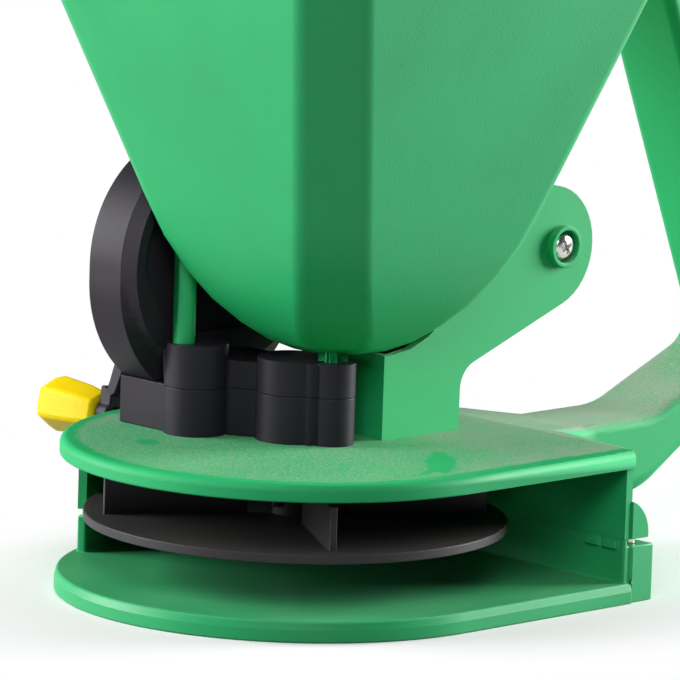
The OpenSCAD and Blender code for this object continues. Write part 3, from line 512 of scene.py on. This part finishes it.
# %% The spreader's plastics
GREEN = (0.016, 0.44, 0.145, 1)
BLACK = (0.022, 0.018, 0.026, 1)
WORN_BLACK = (0.022, 0.019, 0.022, 1)
YELLOW = (0.92, 0.63, 0.003, 1)
NYLON = (0.72, 0.70, 0.62, 1)
SEED_DUST = (0.22, 0.20, 0.17, 1)
GLOW_SHARE = 0.5
GLOW_REACH = (1.0, 0.35, 0.03)
GLOW_DEPTH = 0.006


def let_light_in(material):
    shader = principled(material)
    shader.inputs["Subsurface Weight"].default_value = GLOW_SHARE
    shader.inputs["Subsurface Radius"].default_value = GLOW_REACH
    shader.inputs["Subsurface Scale"].default_value = GLOW_DEPTH


green_hopper = plastic("green_hopper", GREEN, 0.46, depth=0.00007)
green_body = plastic(
    "green_body", GREEN, 0.60, shine=0.35, dust=0.20, specks=0.55, drift=3.0, smears=DECK_SMEARS)
green_tray = plastic("green_tray", GREEN, 0.46, dust=0.10, specks=0.14, drift=0.5)
black_box = plastic("black_gearbox", BLACK, 0.46, depth=0.00003, shine=0.18)
black_spinner = plastic(
    "black_spinner", WORN_BLACK, 0.5, shine=0.4, dust=0.06, specks=0.18, dust_colour=SEED_DUST)
yellow_grip = plastic("yellow_grip", YELLOW, 0.40, depth=0.00002, shine=0.15)
let_light_in(yellow_grip)
nylon_gear = plastic("nylon_gear", NYLON, 0.5)
print("greens:", green_hopper.name, green_body.name, green_tray.name)
print("other plastics:", black_box.name, black_spinner.name, yellow_grip.name, nylon_gear.name)

# %% [markdown]
# Metal is bright where it was turned or rolled. A stretched noise makes the fine lines, and it moves
# the roughness and the height a little.

# %% Turned and rolled metal
LINES_STRETCH = (60.0, 900.0, 900.0)
LINE_DARK, LINE_LIGHT = 0.82, 1.05
LINE_SMOOTHER, LINE_ROUGHER = 0.08, 0.10
LINE_STRENGTH, LINE_DEPTH = 0.25, 0.00002


def metal(name, colour, rough):
    made, tree, shader = new_finish(name)
    turned = node_of(tree, "ShaderNodeMapping", {"Scale": LINES_STRETCH})
    feed(tree, turned.inputs["Vector"], on_piece(tree))
    lines = noise(tree, turned.outputs["Vector"], 1.0)
    tone = mixed(tree, lines, scaled(colour, LINE_DARK), scaled(colour, LINE_LIGHT))
    shader.inputs["Metallic"].default_value = 1.0
    feed(tree, shader.inputs["Base Color"], tone)
    feed(tree, shader.inputs["Roughness"], spread(tree, lines, rough - LINE_SMOOTHER, rough + LINE_ROUGHER))
    emboss(tree, shader, lines, LINE_STRENGTH, LINE_DEPTH)
    return made


plated_steel = metal("plated_steel", (0.72, 0.70, 0.68, 1), 0.24)
bush_bronze = metal("bush_bronze", (0.58, 0.40, 0.20, 1), 0.36)
print("metals:", plated_steel.name, bush_bronze.name)

# %% [markdown]
# ## Soft edges on the mouldings
# A solid from CAD has knife-sharp edges, and real mouldings never have them. Each visible piece is a
# merged copy of its solid with smooth shading. A simple piece gets a Bevel modifier on every sharp
# edge. On the large mouldings many faces meet, and one bevel on everything would tear, so there the
# outer edges are picked by their place and rounded a chain at a time.

# %% Pick and round edges
SHARP_ANGLE = math.radians(32)
ROUND_STEPS = 3


def sharp_edges(bm, wanted):
    """Outward sharp edges whose two ends, in millimetres, both pass a test."""
    chosen = []
    for edge in bm.edges:
        if len(edge.link_faces) != 2 or not edge.is_convex:
            continue
        if edge.calc_face_angle() > SHARP_ANGLE and all(wanted(vert.co / MM) for vert in edge.verts):
            chosen.append(edge)
    return chosen


def round_over(bm, wanted, width, clamp=True):
    chosen = sharp_edges(bm, wanted)
    bmesh.ops.bevel(
        bm, geom=chosen, offset=width * MM, offset_type="OFFSET", affect="EDGES",
        segments=ROUND_STEPS, profile=0.5, material=-1, clamp_overlap=clamp)
    return len(chosen)


print("edges sharper than this are rounded, in degrees:", round(math.degrees(SHARP_ANGLE)))

# %% [markdown]
# Each chain is a short test of a corner's place, in the CAD model's own millimetres. X runs across
# the spreader with the crank on the minus side, Y runs back to the handle, and Z is up from the table.

# %% Places of the green edges
NEAR = 0.03
DECK_UNDER = 39.0
DECK_RIM_R = 66.5
HOPPER_RIM_Z = 247.0
EAR_X, EAR_LOW_Z, EAR_BACK_Y = 14.0, 44.3, 110.0
RING_UP, RING_LOW_Z = 2.2, 80.0
WALL_X, WALL_TOP, WALL_FROM_Y = 66.2, 38.9, 60.0
FLARE_EDGE_Y = 70.0
FLARE_EDGE_X = (13.9, 60.0)
FLARE_EDGE_Z = (38.5, 43.6)


def near(value, target):
    return abs(value - target) < NEAR


def on_hopper_rim(p):
    return p.z > HOPPER_RIM_Z


def on_ear(p):
    return near(abs(p.x), EAR_X) and p.z > EAR_LOW_Z and p.y < EAR_BACK_Y


def on_ear_ring(p):
    return abs(p.x) > EAR_X + RING_UP and p.z > RING_LOW_Z


def on_wall_end(p):
    return p.x > WALL_X and p.z < WALL_TOP and p.y > WALL_FROM_Y


def on_flare(p):
    beside = FLARE_EDGE_X[0] < abs(p.x) < FLARE_EDGE_X[1]
    return p.y > FLARE_EDGE_Y and beside and FLARE_EDGE_Z[0] < p.z < FLARE_EDGE_Z[1]


def on_deck_rim(p):
    return near(p.z, DECK_UNDER) and math.hypot(p.x, p.y) > DECK_RIM_R and p.y < WALL_FROM_Y


ROUNDINGS = {
    "hopper": [(on_hopper_rim, 0.9)],
    "upper_body": [
        (on_ear, 0.9), (on_ear_ring, 0.45), (on_wall_end, 0.5), (on_flare, 2.6, False), (on_deck_rim, 0.6),
    ],
}
print("green pieces with picked edges:", list(ROUNDINGS))

# %% Places of the black edges
CRANK_Z = 90.6
DRUM_R, DRUM_EDGE_R = 35.5, 35.0
SPLIT_Z = 57.6
LOBE_TOPS = (70.0, 65.5, 67.5, 67.3)
BLOCK_SIDE_Y, BLOCK_FROM_X = 22.0, -20.0
COVER_X, SEAM_X = -50.6, -36.8


def from_crank(p):
    return math.hypot(p.y, p.z - CRANK_Z)


def on_split(p):
    return near(p.z, SPLIT_Z)


def on_block_side(p):
    return near(abs(p.y), BLOCK_SIDE_Y) and p.x < BLOCK_FROM_X


def on_lobe_top(p):
    return any(near(p.z, top) for top in LOBE_TOPS)


def on_cover_rim(p):
    return near(p.x, COVER_X) and from_crank(p) > DRUM_EDGE_R


def on_seam(p):
    return near(p.x, SEAM_X) and from_crank(p) > DRUM_EDGE_R


BLACK_ROUNDINGS = {
    "gearbox_lower": [(on_split, 0.3), (on_block_side, 0.8)],
    "gearbox_upper": [(on_lobe_top, 0.7), (on_split, 0.3)],
    "gear_cover": [(on_cover_rim, 1.2), (on_seam, 0.3), (on_split, 0.3)],
}
ROUNDINGS.update(BLACK_ROUNDINGS)
print("black pieces with picked edges:", list(BLACK_ROUNDINGS))

# %% [markdown]
# ## Forms that the solids leave plain
# Some solids are simpler than the real mouldings. The flare that spreads the handle into the deck is
# a thin web, but its side should run down the whole side of the handle. Its underside is picked by
# its place and extruded downwards.

# %% Deepen the handle's flare
FLARE_FROM, FLARE_TO = 68.0, 109.0
FLARE_SIDE_X = 13.0
WEB_LOW, WEB_HIGH = 34.0, 39.0
FACES_DOWN = -0.98
FLARE_DEEP = 10.0


def under_flare(face):
    middle = face.calc_center_median() / MM
    beside = FLARE_FROM < middle.y < FLARE_TO and abs(middle.x) > FLARE_SIDE_X
    return face.normal.z < FACES_DOWN and beside and WEB_LOW < middle.z < WEB_HIGH


def deepen_flare(bm):
    under = [face for face in bm.faces if under_flare(face)]
    grown = bmesh.ops.extrude_face_region(bm, geom=under)["geom"]
    lowered = [part for part in grown if isinstance(part, bmesh.types.BMVert)]
    bmesh.ops.translate(bm, vec=(0, 0, -FLARE_DEEP * MM), verts=lowered)
    return len(lowered)


print("the flare grows down by mm:", FLARE_DEEP)

# %% [markdown]
# The drum is a true circle, but its flanks should run down to the gearbox block in a wider curve,
# its rear rim should taper less, and the block should reach the drum's outer face.

# %% Widen the drum and lengthen its block
DRUM_DROP = 4.4
DRUM_SKIN = 0.15
DRUM_BACK_X = SEAM_X + 0.1
RIM_X, PAST_RIM = -32.0, 1.01
DRUM_TAPER, RIM_WIDER = 4.0, 2.5
RIM_FROM, RIM_FULL = 62.0, 74.0
BLOCK_END, BLOCK_LONGER = -48.1, 2.2


def widen_drum(bm):
    moved = 0
    for vert in bm.verts:
        spot = vert.co / MM
        radius = from_crank(spot)
        if abs(radius - DRUM_R) < DRUM_SKIN and spot.z < CRANK_Z and spot.x < DRUM_BACK_X:
            below = max(0.0, CRANK_Z - DRUM_DROP - spot.z)
            vert.co.y = math.copysign(math.sqrt(DRUM_R ** 2 - below ** 2), spot.y) * MM
            moved += 1
            continue
        back = (spot.x - SEAM_X) / (RIM_X - SEAM_X)
        on_taper = 0 < back < PAST_RIM and abs(radius - DRUM_R + DRUM_TAPER * back) < DRUM_SKIN
        if on_taper and spot.z > RIM_FROM:
            share = back * min(1.0, (spot.z - RIM_FROM) / (RIM_FULL - RIM_FROM))
            grow = 1 + RIM_WIDER * share / radius
            vert.co.y *= grow
            vert.co.z = (CRANK_Z + (spot.z - CRANK_Z) * grow) * MM
            moved += 1
    return moved


def lengthen_block(bm):
    end = [vert for vert in bm.verts if vert.co.x / MM < BLOCK_END]
    bmesh.ops.translate(bm, vec=(-BLOCK_LONGER * MM, 0, 0), verts=end)
    return len(end)


print("the drum's flanks drop by mm:", DRUM_DROP, "and the block grows by mm:", BLOCK_LONGER)

# %% [markdown]
# The crank arm slants all the way, but its end should lie parallel to the drum. It is cut across in
# a few places and then eased towards the drum along a smooth step. The knob rests on a corner, but
# one flat side should look forward, so it turns by half a side.

# %% Bend the crank arm and turn the knob
KNOB_AXIS = Vector((0, -7.7435, 41.7094))
KNOB_TURN = math.radians(30)
ARM_BEND = 1.1
BEND_FROM, BEND_TO = 33.0, 42.6
BEND_CUTS = 6
BOSS_FACE_X = -71.5


def bend_arm(bm):
    hub = Vector((0, 0, CRANK_Z))
    along = (KNOB_AXIS - hub).normalized()
    for cut in range(BEND_CUTS + 1):
        reach = BEND_FROM + (BEND_TO - BEND_FROM) * cut / BEND_CUTS
        geom = bm.verts[:] + bm.edges[:] + bm.faces[:]
        bmesh.ops.bisect_plane(bm, geom=geom, plane_co=(hub + along * reach) * MM, plane_no=along)
    moved = 0
    for vert in bm.verts:
        spot = vert.co / MM
        share = ((spot - hub).dot(along) - BEND_FROM) / (BEND_TO - BEND_FROM)
        if share > 0 and spot.x > BOSS_FACE_X:
            share = min(share, 1.0)
            vert.co.x += ARM_BEND * MM * share * share * (3 - 2 * share)
            moved += 1
    return moved


def turn_knob(bm):
    half_side = Matrix.Rotation(KNOB_TURN, 3, "X")
    bmesh.ops.rotate(bm, cent=KNOB_AXIS * MM, matrix=half_side, verts=bm.verts)
    return len(bm.verts)


SHAPINGS = {
    "upper_body": deepen_flare,
    "gear_cover": widen_drum,
    "gearbox_upper": widen_drum,
    "gearbox_lower": lengthen_block,
    "crank_arm": bend_arm,
    "crank_knob": turn_knob,
}
print("pieces with a changed form:", list(SHAPINGS))

# %% [markdown]
# ## Dressed pieces
# A dressed piece takes its solid's place and rides on the same body, so it moves with the same joint.
# Its flat faces are merged first, because the CAD mesh is loose triangles. Weighted normals then keep
# the flats flat between the rounded edges.

# %% Make a dressed piece
MERGE = 1e-6
FLAT_ANGLE = math.radians(0.4)
SOFT_STEPS = 2


def merged_copy(node):
    bm = bmesh.new()
    bm.from_mesh(frame["nodes"][node].data)
    bmesh.ops.remove_doubles(bm, verts=bm.verts, dist=MERGE)
    bmesh.ops.dissolve_limit(bm, angle_limit=FLAT_ANGLE, verts=bm.verts, edges=bm.edges)
    return bm


def finish_piece(bm, name, node, material):
    """Turns a bmesh into a piece that stands for a node and rides on the same body."""
    for face in bm.faces:
        face.smooth = True
        face.material_index = 0
    mesh = bpy.data.meshes.new(name)
    bm.to_mesh(mesh)
    bm.free()
    mesh.set_sharp_from_angle(angle=SHARP_ANGLE)
    mesh.materials.append(material)
    piece = bpy.data.objects.new(name, mesh)
    scene.collection.objects.link(piece)
    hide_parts(node)
    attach(piece, frame["nodes"][node]["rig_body"])
    return piece


def soften_edges(piece, width):
    edge = piece.modifiers.new("soft_edges", "BEVEL")
    edge.width = width * MM
    edge.segments = SOFT_STEPS
    edge.limit_method = "ANGLE"
    edge.angle_limit = SHARP_ANGLE
    edge.use_clamp_overlap = False
    edge.miter_outer = "MITER_ARC"


def even_normals(piece):
    even = piece.modifiers.new("even_normals", "WEIGHTED_NORMAL")
    even.keep_sharp = True


def dress(node, material, slot, soft=0.0):
    bm = merged_copy(node)
    if node in SHAPINGS:
        print(node, "corners moved:", SHAPINGS[node](bm))
    rounded = sum(round_over(bm, *chain) for chain in ROUNDINGS.get(node, []))
    piece = finish_piece(bm, node + "_moulded", node, material)
    if soft:
        soften_edges(piece, soft)
    even_normals(piece)
    return rounded


print("the recipe for a dressed piece is ready")

# %% Dress every solid but the screws
MOULDINGS = {
    "hopper": (green_hopper, "green_plastic"),
    "upper_body": (green_body, "green_plastic"),
    "lower_tray": (green_tray, "green_plastic", 0.5),
    "gearbox_lower": (black_box, "black_plastic"),
    "gearbox_upper": (black_box, "black_plastic"),
    "gear_cover": (black_box, "black_plastic"),
    "spinner_bush": (black_box, "black_plastic", 0.25),
    "crank_arm": (black_box, "black_plastic", 0.5),
    "spinner_disc": (black_spinner, "black_plastic", 0.3),
    "flow_gate": (black_box, "black_plastic", 0.15),
    "crank_knob": (yellow_grip, "yellow_plastic", 0.9),
    "trigger": (yellow_grip, "yellow_plastic", 0.5),
    "crank_gear": (nylon_gear, "nylon"),
    "counter_pinion": (nylon_gear, "nylon"),
    "counter_bevel": (nylon_gear, "nylon"),
    "spinner_bevel": (nylon_gear, "nylon"),
    "crank_bush": (bush_bronze, "bronze"),
    "counter_bushes": (bush_bronze, "bronze"),
}
STEEL_NODES = {
    "crank_shaft": 0.0, "knob_pin": 0.25, "counter_shaft": 0.0, "spinner_shaft": 0.0, "spinner_nut": 0.2,
    "link_bar": 0.15, "gate_rivet": 0.15, "trigger_pin": 0.0, "trigger_spring": 0.0,
}
rounded_edges = {node: dress(node, *finish) for node, finish in MOULDINGS.items()}
for node, soft in STEEL_NODES.items():
    dress(node, plated_steel, "steel", soft)
print("rounded edges:", {node: count for node, count in rounded_edges.items() if count})

# %% [markdown]
# ## Cross-head screws
# The CAD screws are plain buttons. A real pan head has a low crown and a tapered cross sunk into it.
# A short profile is spun round the screw's axis, the round hole that is left in the crown is bridged
# to the outline of a cross, and the cross is extruded down and narrowed. One such screw is then
# copied to each place.

# %% Model one screw
SHANK = 1.8
HEAD_UP = 2.2
RING_STEPS = 24
CROSS_HALF = 0.16
CROSS_REACH = 0.52
CROSS_DEEP = 1.3
CROSS_NARROWS = 0.55


def loop_of(bm, points):
    verts = [bm.verts.new(point) for point in points]
    return [bm.edges.new((verts[i], verts[(i + 1) % len(verts)])) for i in range(len(verts))]


def cross_outline(head, z):
    """Outline of a cross with a point at every corner and at the middle of every side."""
    w, r = CROSS_HALF * head, CROSS_REACH * head
    quarter = [(r, -w), (r, w), (w, w)]
    corners = []
    for turn in range(4):
        spun = Matrix.Rotation(turn * math.pi / 2, 2)
        corners += [spun @ Vector(point) for point in quarter]
    points = []
    for i, corner in enumerate(corners):
        points.append((*corner, z))
        points.append((*((corner + corners[(i + 1) % len(corners)]) / 2), z))
    return points


def screw_shape(length, head):
    """One screw in metres: its axis is Z, its head stands above nought."""
    bm = bmesh.new()
    profile = [
        (SHANK * 0.6, -length), (SHANK, -length + 0.8), (SHANK, 0), (head * 0.97, 0), (head, 0.2),
        (head, 0.8), (head * 0.95, 1.25), (head * 0.82, 1.7), (head * 0.64, 2.0),
    ]
    verts = [bm.verts.new((r, 0, z)) for r, z in profile]
    edges = [bm.edges.new(pair) for pair in zip(verts, verts[1:])]
    bmesh.ops.spin(
        bm, geom=verts + edges, axis=(0, 0, 1), cent=(0, 0, 0), angle=2 * math.pi,
        steps=RING_STEPS, use_merge=True)
    rims = [edge for edge in bm.edges if edge.is_boundary]
    tip = [edge for edge in rims if edge.verts[0].co.z < 0]
    crown = [edge for edge in rims if edge.verts[0].co.z > 0]
    bmesh.ops.edgeloop_fill(bm, edges=tip)
    cross = loop_of(bm, cross_outline(head, HEAD_UP))
    bmesh.ops.bridge_loops(bm, edges=crown + cross)
    floor = bmesh.ops.edgeloop_fill(bm, edges=cross)["faces"]
    sunk = bmesh.ops.extrude_discrete_faces(bm, faces=floor)["faces"]
    bottom = [vert for face in sunk for vert in face.verts]
    bmesh.ops.translate(bm, vec=(0, 0, -CROSS_DEEP), verts=bottom)
    bmesh.ops.scale(bm, vec=(CROSS_NARROWS, CROSS_NARROWS, 1), verts=bottom)
    bmesh.ops.recalc_face_normals(bm, faces=bm.faces)
    bmesh.ops.scale(bm, vec=(MM, MM, MM), verts=bm.verts)
    return bm


sample = screw_shape(7.4, 3.8)
print("faces in one screw:", len(sample.faces), "open edges:", sum(e.is_boundary for e in sample.edges))
sample.free()

# %% [markdown]
# The places repeat the CAD model's own: two screws in the ear, three in the gear cover, two under
# the tray, two under the deck, two inside the hopper that hold the handle, and one on the crank. Each
# screw of a set is turned by another angle, as a driver leaves it.

# %% Put the screws in their places
COVER_REACH = 31.0
WALL_TILT = math.radians(18.869)
INTO_HOPPER = (0, -math.cos(WALL_TILT), math.sin(WALL_TILT))
TWIST_FIRST, TWIST_EACH = 25, 37


def cover_place(turn):
    angle = math.radians(turn)
    return (COVER_X, COVER_REACH * math.cos(angle), CRANK_Z + COVER_REACH * math.sin(angle))


SCREWS = {
    "ear_screws": (7.4, 3.8, [((side * EAR_X, 90.5, 93.4), (side, 0, 0)) for side in (1, -1)]),
    "cover_screws": (17.2, 3.0, [(cover_place(turn), (-1, 0, 0)) for turn in (-15, 90, 195)]),
    "tray_screws": (18.5, 3.0, [((side * 62.4, 71.4, 6), (0, 0, -1)) for side in (-1, 1)]),
    "hopper_screws": (22.1, 3.0, [((-27.2, -19.6, 41.5), (0, 0, -1)), ((8.5, 4.5, 40), (0, 0, -1))]),
    "handle_screws": (14, 3.0, [((side * 11, 98.595, 220.953), INTO_HOPPER) for side in (-1, 1)]),
    "crank_screw": (1.0, 4.0, [((-56.6, 0, CRANK_Z), (-1, 0, 0))]),
}


def place_screws(node, length, head, places):
    unit = bpy.data.meshes.new("screw_unit")
    shape = screw_shape(length, head)
    shape.to_mesh(unit)
    shape.free()
    bm = bmesh.new()
    for count, (place, outwards) in enumerate(places):
        before = len(bm.verts)
        bm.from_mesh(unit)
        bm.verts.ensure_lookup_table()
        turn = Vector(outwards).to_track_quat("Z", "Y").to_matrix().to_4x4()
        twist = Matrix.Rotation(math.radians(TWIST_FIRST + TWIST_EACH * count), 4, "Z")
        move = Matrix.Translation(Vector(place) * MM)
        bmesh.ops.transform(bm, matrix=move @ turn @ twist, verts=bm.verts[before:])
    bpy.data.meshes.remove(unit)
    piece = finish_piece(bm, node + "_crosshead", node, plated_steel)
    even_normals(piece)


for node, (length, head, places) in SCREWS.items():
    place_screws(node, length, head, places)
print("screws:", sum(len(places) for _, _, places in SCREWS.values()))

# %% [markdown]
# This last cell brings the scene up to date.

# %% Update the scene
bpy.context.view_layer.update()
